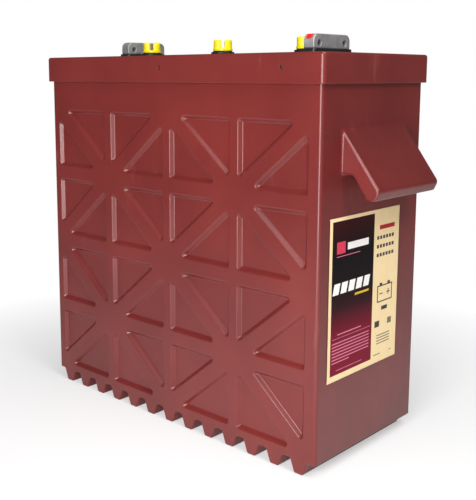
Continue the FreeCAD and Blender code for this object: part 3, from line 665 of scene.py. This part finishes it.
def lug(x, mid):
    """Bayonet lug: a small rounded section (radius, z) carried along an arc about the stem."""
    section, _ = rectangle(LUG_INNER, LUG_OUTER, *LUG_Z, LUG_R, 3)
    angles = mid + math.radians(LUG_HALF_ANGLE) * np.linspace(-1, 1, 7)
    rings = np.array([np.column_stack([x + section[:, 0] * math.cos(a),
                                       section[:, 0] * math.sin(a), section[:, 1]])
                      for a in angles])
    return [band(rings), flat_face(rings[0]), flat_face(rings[-1])]


def cap_patches(i):
    """Cap: flange and stem, two grip lobes and two bayonet lugs."""
    low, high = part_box(f"vent_cap_{i}")
    x = (low.x + high.x) / 2
    patches = [cap_body(x, low.z)]
    for side in (-1, 1):
        patches += lobe(x, high.z, side)
    for mid in (0, math.pi):
        patches += lug(x, mid)
    return patches


def build_vents(yellow, black, rubber, white):
    """Caps on their own bodies, with their gaskets and baffles, over the necks."""
    for i in range(1, CELLS + 1):
        piece(f"yellow_cap_{i}", cap_patches(i), yellow, f"cap_{i}", "vent_yellow",
              f"vent_cap_{i}")
        merged_copy(f"vent_neck_{i}", f"neck_{i}", black, "battery", "black_moulding")
        merged_copy(f"vent_gasket_{i}", f"gasket_ring_{i}", rubber, f"gasket_{i}", "seal_rubber")
        merged_copy(f"vent_baffle_{i}", f"baffle_{i}", white, f"cap_{i}", "baffle_plastic")


# ---------------------------------------------------------------- label
def build_label(material):
    """Thin film with rounded corners on the +X wall."""
    film = slab(rectangle(LABEL_LOW.y, LABEL_HIGH.y, LABEL_LOW.z, LABEL_HIGH.z, 2 * MM),
                LABEL_HIGH.x - LABEL_LOW.x, (0.12 * MM, 0.12 * MM))
    film = placed(film, (LABEL_HIGH.x, 0, 0), (0, 1, 0), (0, 0, 1), (-1, 0, 0))
    piece("label_film", film, material, "battery", "label_print", "end_label")


# ---------------------------------------------------------------- finishes
def add_node(tree, kind, settings=None, **inputs):
    """Node with its settings; an input is a value, or a socket that is linked to it."""
    node = tree.nodes.new(kind)
    for key, value in (settings or {}).items():
        setattr(node, key, value)
    for key, value in inputs.items():
        socket = node.inputs[int(key[1:]) if key[0] == "_" else key.replace("_", " ")]
        if isinstance(value, bpy.types.NodeSocket):
            tree.links.new(value, socket)
        else:
            socket.default_value = value
    return node


def maths(tree, operation, a, b=0.0, c=0.0):
    """Output of one Math node."""
    return add_node(tree, "ShaderNodeMath", {"operation": operation}, _0=a, _1=b, _2=c).outputs[0]


def blend(tree, share, first, second):
    """Colour between two colours."""
    node = add_node(tree, "ShaderNodeMix", {"data_type": "RGBA"}, _0=share, _6=first, _7=second)
    return node.outputs[2]


def ramp(tree, value, low, high, start=0.0, end=1.0):
    """Value moved from the range low..high to start..end, and clamped there."""
    return add_node(tree, "ShaderNodeMapRange", None, Value=value, From_Min=low, From_Max=high,
                    To_Min=start, To_Max=end).outputs[0]


def noise(tree, scale, detail=3.0, stretch=(1, 1, 1), roughness=0.5):
    """Noise on the piece's own metres; scale is in features per metre."""
    coordinates = add_node(tree, "ShaderNodeTexCoord").outputs["Object"]
    mapping = add_node(tree, "ShaderNodeMapping", None, Vector=coordinates, Scale=stretch)
    return add_node(tree, "ShaderNodeTexNoise", None, Vector=mapping.outputs[0], Scale=scale,
                    Detail=detail, Roughness=roughness).outputs[0]


def colour(r, g, b):
    """Screen colour of 0 to 255 as a linear colour."""
    channels = [v / 255 for v in (r, g, b)]
    return (*[v / 12.92 if v <= 0.04045 else ((v + 0.055) / 1.055) ** 2.4 for v in channels], 1.0)


def new_material(name, **fixed):
    """Material with a principled shader; fixed values go on the shader's own sockets."""
    material = bpy.data.materials.new(name)
    material.use_nodes = True
    tree = material.node_tree
    shader = tree.nodes["Principled BSDF"]
    for key, value in fixed.items():
        shader.inputs[key.replace("_", " ")].default_value = value
    return material, tree, shader


def bumped(tree, shader, height, strength, distance):
    """Links a height to the shader's normal through a Bump node."""
    bump = add_node(tree, "ShaderNodeBump", None, Height=height, Strength=strength,
                    Distance=distance)
    tree.links.new(bump.outputs[0], shader.inputs["Normal"])


def finish(name, dark, light, patch_scale, grain_scale, roughness, relief, stretch=(1, 1, 1),
           **fixed):
    """Finish of one substance: two tones in soft patches, grain in its gloss and in its relief."""
    material, tree, shader = new_material(name, **fixed)
    patches = ramp(tree, noise(tree, patch_scale, 4.0, stretch), 0.3, 0.7)
    tree.links.new(blend(tree, patches, dark, light), shader.inputs["Base Color"])
    grain = noise(tree, grain_scale, 2.0, stretch)
    tree.links.new(ramp(tree, grain, 0.3, 0.7, *roughness), shader.inputs["Roughness"])
    bumped(tree, shader, grain, 1.0, relief)
    return material


def moulded_case(name, dark, light):
    """Satin moulded plastic: soft tone patches, fine orange peel, flow lines and faint scuffs."""
    material, tree, shader = new_material(name, Specular_IOR_Level=0.3, Coat_Weight=0.4,
                                          Coat_Roughness=0.14)
    patches = ramp(tree, noise(tree, 7.0, 3.0), 0.35, 0.65)
    tone = blend(tree, patches, dark, light)
    scuffs = ramp(tree, noise(tree, 40.0, 6.0, (1.0, 1.0, 0.15), 0.7), 0.62, 0.72)
    chalk = tuple(0.75 * a + 0.25 * b for a, b in zip(light, colour(190, 130, 125)))
    tone = blend(tree, maths(tree, "MULTIPLY", scuffs, 0.35), tone, chalk)
    tree.links.new(tone, shader.inputs["Base Color"])
    peel = noise(tree, 900.0, 2.0)
    waves = noise(tree, 30.0, 2.0)
    gloss = ramp(tree, waves, 0.3, 0.7, 0.33, 0.43)
    tree.links.new(maths(tree, "ADD", gloss, maths(tree, "MULTIPLY", scuffs, 0.12)),
                   shader.inputs["Roughness"])
    height = maths(tree, "ADD", maths(tree, "MULTIPLY", peel, 0.12 * MM),
                   maths(tree, "MULTIPLY", waves, 0.25 * MM))
    bumped(tree, shader, height, 0.35, 1.0)
    return material


# Printed blocks on the label: colour, left, right, bottom, top (shares of its size) and slant.
INK = {"white": colour(242, 238, 235), "pink": colour(205, 60, 85), "gold": colour(215, 175, 50),
       "rose": colour(215, 120, 145), "red": colour(170, 35, 45), "slate": colour(62, 62, 66),
       "grey": colour(120, 112, 98)}
PRINT = [("pink", 0.10, 0.215, 0.780, 0.852, 0.0), ("white", 0.245, 0.54, 0.795, 0.838, 0.0),
         ("rose", 0.10, 0.42, 0.762, 0.766, 0.0)]
PRINT += [("white", 0.065 + 0.105 * k, 0.145 + 0.105 * k, 0.535, 0.602, 0.35) for k in range(5)]
PRINT += [("gold", 0.36, 0.56, 0.498, 0.512, 0.35),
          ("rose", 0.13, 0.46, 0.283, 0.290, 0.0), ("rose", 0.06, 0.60, 0.262, 0.265, 0.0)]
PRINT += [("rose", 0.06, 0.58 if k else 0.30, 0.112 + 0.020 * k, 0.119 + 0.020 * k, 0.0)
          for k in range(7)]
PRINT += [("rose", 0.12, 0.48, 0.062, 0.066, 0.0), ("red", 0.70, 0.93, 0.868, 0.895, 0.0)]
PRINT += [("slate", 0.665 + 0.045 * k, 0.697 + 0.045 * k, row, row + 0.022, 0.0)
          for row in (0.806, 0.750, 0.694) for k in range(6)]
# a plain pictogram of a battery: outline, two poles and a plus and a minus as bars
PRINT += [("slate", 0.69, 0.92, 0.395, 0.403, 0.0), ("slate", 0.69, 0.92, 0.497, 0.505, 0.0),
          ("slate", 0.69, 0.703, 0.395, 0.505, 0.0), ("slate", 0.907, 0.92, 0.395, 0.505, 0.0),
          ("slate", 0.725, 0.765, 0.505, 0.520, 0.0), ("slate", 0.845, 0.885, 0.505, 0.520, 0.0),
          ("slate", 0.725, 0.775, 0.446, 0.453, 0.0), ("slate", 0.835, 0.885, 0.446, 0.453, 0.0),
          ("slate", 0.854, 0.866, 0.430, 0.469, 0.0), ("slate", 0.76, 0.85, 0.340, 0.365, 0.0)]
PRINT += [("slate", 0.665, 0.735, 0.235, 0.275, 0.0), ("grey", 0.86, 0.92, 0.235, 0.275, 0.0)]
PRINT += [("grey", 0.70, 0.90, 0.120 + 0.018 * k, 0.127 + 0.018 * k, 0.0) for k in range(4)]
PRINT += [("grey", 0.66, 0.76, 0.050, 0.056, 0.0), ("grey", 0.90, 0.93, 0.050, 0.056, 0.0)]


def printed_block():
    """Node group: 1 inside a bar of the label, which may lean to the right as it goes up."""
    group = bpy.data.node_groups.new("printed_block", "ShaderNodeTree")
    for name in ("u", "v", "mid u", "mid v", "half u", "half v", "slant"):
        group.interface.new_socket(name, in_out="INPUT", socket_type="NodeSocketFloat")
    group.interface.new_socket("mask", in_out="OUTPUT", socket_type="NodeSocketFloat")
    given = group.nodes.new("NodeGroupInput").outputs
    up = maths(group, "SUBTRACT", given["v"], given["mid v"])
    aside = maths(group, "SUBTRACT", given["u"], given["mid u"])
    lean = maths(group, "MULTIPLY", up, given["slant"])
    aside = maths(group, "SUBTRACT", aside, lean)
    in_u = maths(group, "LESS_THAN", maths(group, "ABSOLUTE", aside), given["half u"])
    in_v = maths(group, "LESS_THAN", maths(group, "ABSOLUTE", up), given["half v"])
    out = group.nodes.new("NodeGroupOutput")
    group.links.new(maths(group, "MULTIPLY", in_u, in_v), out.inputs[0])
    return group


def label_material():
    """Printed film: cream sheet, dark panel that shades to crimson, and plain bars and blocks."""
    material, tree, shader = new_material("label_print", Specular_IOR_Level=0.12)
    place = add_node(tree, "ShaderNodeTexCoord").outputs["Object"]
    axes = add_node(tree, "ShaderNodeSeparateXYZ", None, Vector=place).outputs
    u = ramp(tree, axes["Y"], LABEL_LOW.y, LABEL_HIGH.y)
    v = ramp(tree, axes["Z"], LABEL_LOW.z, LABEL_HIGH.z)
    group = printed_block()

    def block(sheet, ink, left, right, bottom, top, slant):
        """The sheet with one block printed on it."""
        mask = add_node(tree, "ShaderNodeGroup", {"node_tree": group}, u=u, v=v,
                        mid_u=(left + right) / 2, mid_v=(bottom + top) / 2,
                        half_u=(right - left) / 2, half_v=(top - bottom) / 2, slant=slant)
        return blend(tree, mask.outputs[0], sheet, ink)

    panel = add_node(tree, "ShaderNodeValToRGB", None, Fac=v)
    stops = [(0.0, colour(120, 8, 38)), (0.28, colour(112, 8, 36)), (0.45, colour(42, 2, 12)),
             (0.56, colour(10, 2, 4)), (0.80, colour(12, 2, 4)), (0.97, colour(52, 6, 8))]
    bands = panel.color_ramp.elements
    for k, (at, tone) in enumerate(stops):
        stop = bands[k] if k < 2 else bands.new(at)
        stop.position = at
        stop.color = tone
    paper = blend(tree, noise(tree, 60.0, 3.0), colour(236, 208, 156), colour(244, 220, 174))
    sheet = block(paper, panel.outputs[0], 0.04, 0.62, 0.038, 0.978, 0.0)
    for ink, *place_and_slant in PRINT:
        sheet = block(sheet, INK[ink], *place_and_slant)
    tree.links.new(sheet, shader.inputs["Base Color"])
    grain = noise(tree, 1500.0, 2.0)
    tree.links.new(ramp(tree, grain, 0.3, 0.7, 0.38, 0.5), shader.inputs["Roughness"])
    bumped(tree, shader, grain, 0.3, 0.02 * MM)
    return material


def pasted_plate(name, dark, light):
    """Battery plate: paste with fine pores, crossed by the bars of its cast grid."""
    material, tree, shader = new_material(name)
    place = add_node(tree, "ShaderNodeTexCoord").outputs["Object"]
    axes = add_node(tree, "ShaderNodeSeparateXYZ", None, Vector=place).outputs
    paste = blend(tree, ramp(tree, noise(tree, 45.0, 5.0), 0.35, 0.65), dark, light)
    bars = [maths(tree, "LESS_THAN", maths(tree, "PINGPONG", axes[axis], pitch), 0.8 * MM)
            for axis, pitch in (("Y", 6 * MM), ("Z", 9 * MM))]
    grid = maths(tree, "MAXIMUM", *bars)
    tree.links.new(blend(tree, grid, paste, colour(128, 128, 130)), shader.inputs["Base Color"])
    pores = noise(tree, 700.0, 4.0)
    tree.links.new(ramp(tree, pores, 0.3, 0.7, 0.7, 0.95), shader.inputs["Roughness"])
    height = maths(tree, "ADD", maths(tree, "MULTIPLY", pores, 0.3 * MM),
                   maths(tree, "MULTIPLY", grid, 0.4 * MM))
    bumped(tree, shader, height, 0.8, 1.0)
    return material


def ribbed_sheet(name, dark, light):
    """Porous separator with fine upright ribs."""
    material, tree, shader = new_material(name)
    place = add_node(tree, "ShaderNodeTexCoord").outputs["Object"]
    across = add_node(tree, "ShaderNodeSeparateXYZ", None, Vector=place).outputs["Y"]
    tone = blend(tree, ramp(tree, noise(tree, 60.0, 4.0), 0.3, 0.7), dark, light)
    tree.links.new(tone, shader.inputs["Base Color"])
    ribs = maths(tree, "PINGPONG", across, 4 * MM)
    tree.links.new(ramp(tree, noise(tree, 500.0), 0.3, 0.7, 0.75, 0.9),
                   shader.inputs["Roughness"])
    bumped(tree, shader, ribs, 0.6, 0.5)
    return material


def make_finishes():
    """Every finish by the name of its slot."""
    return {
        "case_moulding": moulded_case("case_moulding", colour(98, 31, 29), colour(110, 37, 34)),
        "lid_moulding": moulded_case("lid_moulding", colour(100, 33, 31), colour(112, 39, 36)),
        "screw_steel": finish("screw_steel", colour(70, 66, 62), colour(120, 116, 110), 300, 1500,
                              (0.35, 0.6), 0.05 * MM, Metallic=0.9),
        "label_print": label_material(),
        "terminal_lead": finish("terminal_lead", colour(150, 152, 153), colour(186, 187, 186), 60,
                                600, (0.38, 0.6), 0.25 * MM, Metallic=0.55),
        "black_moulding": finish("black_moulding", colour(22, 23, 25), colour(34, 35, 37), 40,
                                 1200, (0.35, 0.5), 0.04 * MM),
        "polarity_red": finish("polarity_red", colour(196, 22, 20), colour(224, 40, 34), 200, 900,
                               (0.3, 0.42), 0.03 * MM),
        "jar_plastic": finish("jar_plastic", colour(196, 196, 186), colour(220, 220, 212), 12, 800,
                              (0.4, 0.55), 0.05 * MM),
        "cover_plastic": finish("cover_plastic", colour(30, 30, 31), colour(44, 44, 45), 15, 900,
                                (0.4, 0.55), 0.05 * MM),
        "positive_plate": pasted_plate("positive_plate", colour(62, 38, 28), colour(92, 60, 44)),
        "negative_plate": pasted_plate("negative_plate", colour(104, 106, 110),
                                       colour(140, 142, 146)),
        "separator_sheet": ribbed_sheet("separator_sheet", colour(214, 212, 200),
                                        colour(232, 230, 220)),
        "strap_lead": finish("strap_lead", colour(118, 120, 122), colour(158, 160, 162), 50, 500,
                             (0.4, 0.65), 0.3 * MM, Metallic=0.7),
        "seal_rubber": finish("seal_rubber", colour(20, 20, 21), colour(33, 33, 34), 80, 1000,
                              (0.6, 0.8), 0.06 * MM),
        "vent_yellow": finish("vent_yellow", colour(238, 214, 8), colour(250, 232, 14), 60, 1100,
                              (0.28, 0.4), 0.03 * MM, Subsurface_Weight=0.08,
                              Subsurface_Scale=3 * MM),
        "baffle_plastic": finish("baffle_plastic", colour(214, 214, 210), colour(232, 232, 228),
                                 60, 900, (0.4, 0.55), 0.04 * MM),
    }


def finish_packed_nodes(finishes):
    """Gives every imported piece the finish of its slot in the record."""
    for row in frame["record"]["subparts"]:
        data = frame["nodes"][row["node"]].data
        data.materials.clear()
        data.materials.append(finishes[row["material_slot"]])


# ---------------------------------------------------------------- studio
def build_floor():
    """Large pale floor, plain paper white in the open and lit by the lamps near the battery."""
    half = 8.0                            # metres
    mesh = bpy.data.meshes.new("floor")
    mesh.from_pydata([(-half, -half, 0), (half, -half, 0), (half, half, 0), (-half, half, 0)],
                     [], [(0, 1, 2, 3)])
    floor = bpy.data.objects.new("floor", mesh)
    bpy.context.scene.collection.objects.link(floor)
    material, tree, shader = new_material("floor_paint", Roughness=0.9, Specular_IOR_Level=0.1)
    tone = blend(tree, noise(tree, 2.0), colour(246, 246, 246), colour(250, 250, 250))
    tree.links.new(tone, shader.inputs["Base Color"])
    place = add_node(tree, "ShaderNodeTexCoord").outputs["Object"]
    reach = add_node(tree, "ShaderNodeVectorMath", {"operation": "LENGTH"}, _0=place).outputs[1]
    seen = add_node(tree, "ShaderNodeLightPath").outputs["Is Camera Ray"]
    far = maths(tree, "MULTIPLY", ramp(tree, reach, 0.3, 0.8, 0.45, 1.0), seen)
    lit = add_node(tree, "ShaderNodeEmission", None, Color=(1, 1, 1, 1), Strength=1.0)
    mix = add_node(tree, "ShaderNodeMixShader", None, _0=far, _1=shader.outputs[0],
                   _2=lit.outputs[0])
    tree.links.new(mix.outputs[0], tree.nodes["Material Output"].inputs["Surface"])
    mesh.materials.append(material)


def area_light(name, azimuth, elevation, distance, size, power, aim=(0, 0, 0.3)):
    """Soft rectangular light that faces the point aim, from an azimuth and elevation in degrees.

    Azimuth 0 is in front of the battery and 90 beyond its +X end.
    """
    a, e = math.radians(azimuth), math.radians(elevation)
    back = Vector((math.sin(a) * math.cos(e), -math.cos(a) * math.cos(e), math.sin(e)))
    data = bpy.data.lights.new(name, "AREA")
    data.shape = "RECTANGLE"
    data.size, data.size_y = size
    data.energy = power
    light = bpy.data.objects.new(name, data)
    light.location = Vector(aim) + back * distance
    light.rotation_euler = (-back).to_track_quat("-Z", "Y").to_euler()
    bpy.context.scene.collection.objects.link(light)


def build_world():
    """White behind the set, and a softer even light from all round."""
    world = bpy.data.worlds.new("studio")
    bpy.context.scene.world = world
    world.use_nodes = True
    tree = world.node_tree
    tree.nodes.clear()
    around = add_node(tree, "ShaderNodeBackground", None, Color=(1, 1, 1, 1), Strength=0.12)
    behind = add_node(tree, "ShaderNodeBackground", None, Color=(1, 1, 1, 1), Strength=1.0)
    seen = add_node(tree, "ShaderNodeLightPath").outputs["Is Camera Ray"]
    mix = add_node(tree, "ShaderNodeMixShader", None, _0=seen, _1=around.outputs[0],
                   _2=behind.outputs[0])
    out = tree.nodes.new("ShaderNodeOutputWorld")
    tree.links.new(mix.outputs[0], out.inputs[0])


def build_camera():
    """Camera in front of the +X corner, a little under the lid's height and looking down."""
    data = bpy.data.cameras.new("camera")
    data.lens = 59.06
    data.sensor_width = 36.0
    data.shift_x = 0.0623
    data.shift_y = -0.1022
    camera = bpy.data.objects.new("camera", data)
    camera.location = (0.9073, -0.9900, 0.5501)
    camera.rotation_euler = (math.radians(90 - 8.58), 0, math.radians(43.60))
    bpy.context.scene.collection.objects.link(camera)
    bpy.context.scene.camera = camera


def build_studio():
    """Camera, floor, surroundings and three lamps: in front, overhead and beyond the +X end."""
    bpy.context.scene.view_settings.view_transform = "Standard"
    build_camera()
    build_floor()
    build_world()
    area_light("key", 8, 10, 1.5, (0.7, 1.3), 34, (0.45, 0, 0.3))
    area_light("overhead", 40, 78, 1.6, (1.2, 1.2), 13, (0.5, -0.15, 0.3))
    area_light("side", 72, 52, 1.9, (0.7, 0.7), 16, (0.36, 0, 0.3))


build_studio()
finishes = make_finishes()
finish_packed_nodes(finishes)
build_case(finishes["case_moulding"])
build_lid(finishes["lid_moulding"])
for pole in ("positive", "negative"):
    build_terminal(pole, finishes["terminal_lead"], finishes["black_moulding"])
build_polarity_mark(finishes["polarity_red"])
build_vents(finishes["vent_yellow"], finishes["black_moulding"], finishes["seal_rubber"],
            finishes["baffle_plastic"])
merged_copy("lid_screws", "sunk_screws", finishes["screw_steel"], "battery", "screw_steel")
build_label(finishes["label_print"])
